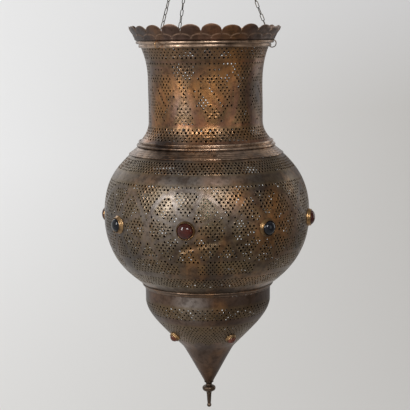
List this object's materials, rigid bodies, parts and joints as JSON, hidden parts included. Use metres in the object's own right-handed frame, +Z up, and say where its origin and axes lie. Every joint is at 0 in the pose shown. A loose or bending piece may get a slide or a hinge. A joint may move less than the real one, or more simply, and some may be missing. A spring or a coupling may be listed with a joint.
{
  "type": "pendant lamp",
  "caption": "Pierced brass pendant lamp: scalloped crown, waisted neck, round belly with glass jewels, drawn cone and finial, hung on chains from a ceiling hook, with a candle inside.",
  "frame": {"origin": "centre of the flat top face of the ceiling plate, where it meets the ceiling", "axes": "+Z up out of the ceiling face, the lamp hangs down along -Z; -Y is the front seen in the picture, +X to its right"},
  "size_m": [0.4506, 0.4506, 1.2294],
  "materials": {
    "brass_aged": "aged, brown patina over worn brass",
    "brass_dark": "dark grey-brown patina",
    "brass_bright": "rubbed pale gold",
    "chain_brass": "blackened wire",
    "steel": "plain zinc grey",
    "glass_red": "polished dark red glass",
    "glass_blue": "polished dark blue glass",
    "glass_amber": "polished amber glass",
    "wax": "ivory wax",
    "wick": "charred cotton"
  },
  "bodies": {
    "ceiling": {"ceiling_plate": "steel", "canopy_cup": "brass_dark", "canopy_screw_right": "steel", "canopy_screw_left": "steel"},
    "hook": {"ceiling_hook": "chain_brass", "hook_nut": "steel"},
    "ring": {"hang_ring": "chain_brass"},
    "candle": {"candle": "wax", "wick": "wick"},
    "lamp": {"stem_nut": "steel", "pan_nut": "steel", "crown": "brass_dark", "finial": "brass_dark", "chain_1": "chain_brass", "chain_2": "chain_brass", "chain_3": "chain_brass", "crown_bead": "brass_aged", "neck_shell": "brass_aged", "shoulder_ring": "brass_aged", "belly_shell": "brass_aged", "seam_collar": "brass_aged", "lower_bowl": "brass_aged", "candle_stem": "brass_aged", "drip_pan": "brass_aged", "candle_cup": "brass_aged", "neck_moulding": "brass_bright", "eye_ring_1": "brass_bright", "eye_ring_2": "brass_bright", "eye_ring_3": "brass_bright", "belly_bezel_1": "brass_bright", "belly_jewel_1": "glass_red", "belly_bezel_2": "brass_bright", "belly_jewel_2": "glass_blue", "belly_bezel_3": "brass_bright", "belly_jewel_3": "glass_red", "belly_bezel_4": "brass_bright", "belly_jewel_4": "glass_blue", "belly_bezel_5": "brass_bright", "belly_jewel_5": "glass_red", "belly_bezel_6": "brass_bright", "belly_jewel_6": "glass_blue", "belly_bezel_7": "brass_bright", "belly_jewel_7": "glass_red", "belly_bezel_8": "brass_bright", "belly_jewel_8": "glass_blue", "bowl_bezel_1": "brass_bright", "bowl_jewel_1": "glass_amber", "bowl_bezel_2": "brass_bright", "bowl_jewel_2": "glass_blue", "bowl_bezel_3": "brass_bright", "bowl_jewel_3": "glass_amber", "bowl_bezel_4": "brass_bright", "bowl_jewel_4": "glass_blue"}
  },
  "joints": [
    {"name": "hook_turn", "type": "hinge", "parent": "ceiling", "child": "hook", "pos_m": [0, 0, -0.03], "axis": [0, 0, 1], "continuous": true},
    {"name": "ring_swing", "type": "hinge", "parent": "hook", "child": "ring", "pos_m": [0, 0, -0.0698], "axis": [1, 0, 0], "range_deg": [-20, 20]},
    {"name": "lamp_swing", "type": "hinge", "parent": "ring", "child": "lamp", "pos_m": [0, 0, -0.099], "axis": [0, 1, 0], "range_deg": [-20, 20]},
    {"name": "candle_lift", "type": "slide", "parent": "lamp", "child": "candle", "axis": [0, 0, 1], "range_m": [0, 0.06]}
  ]
}
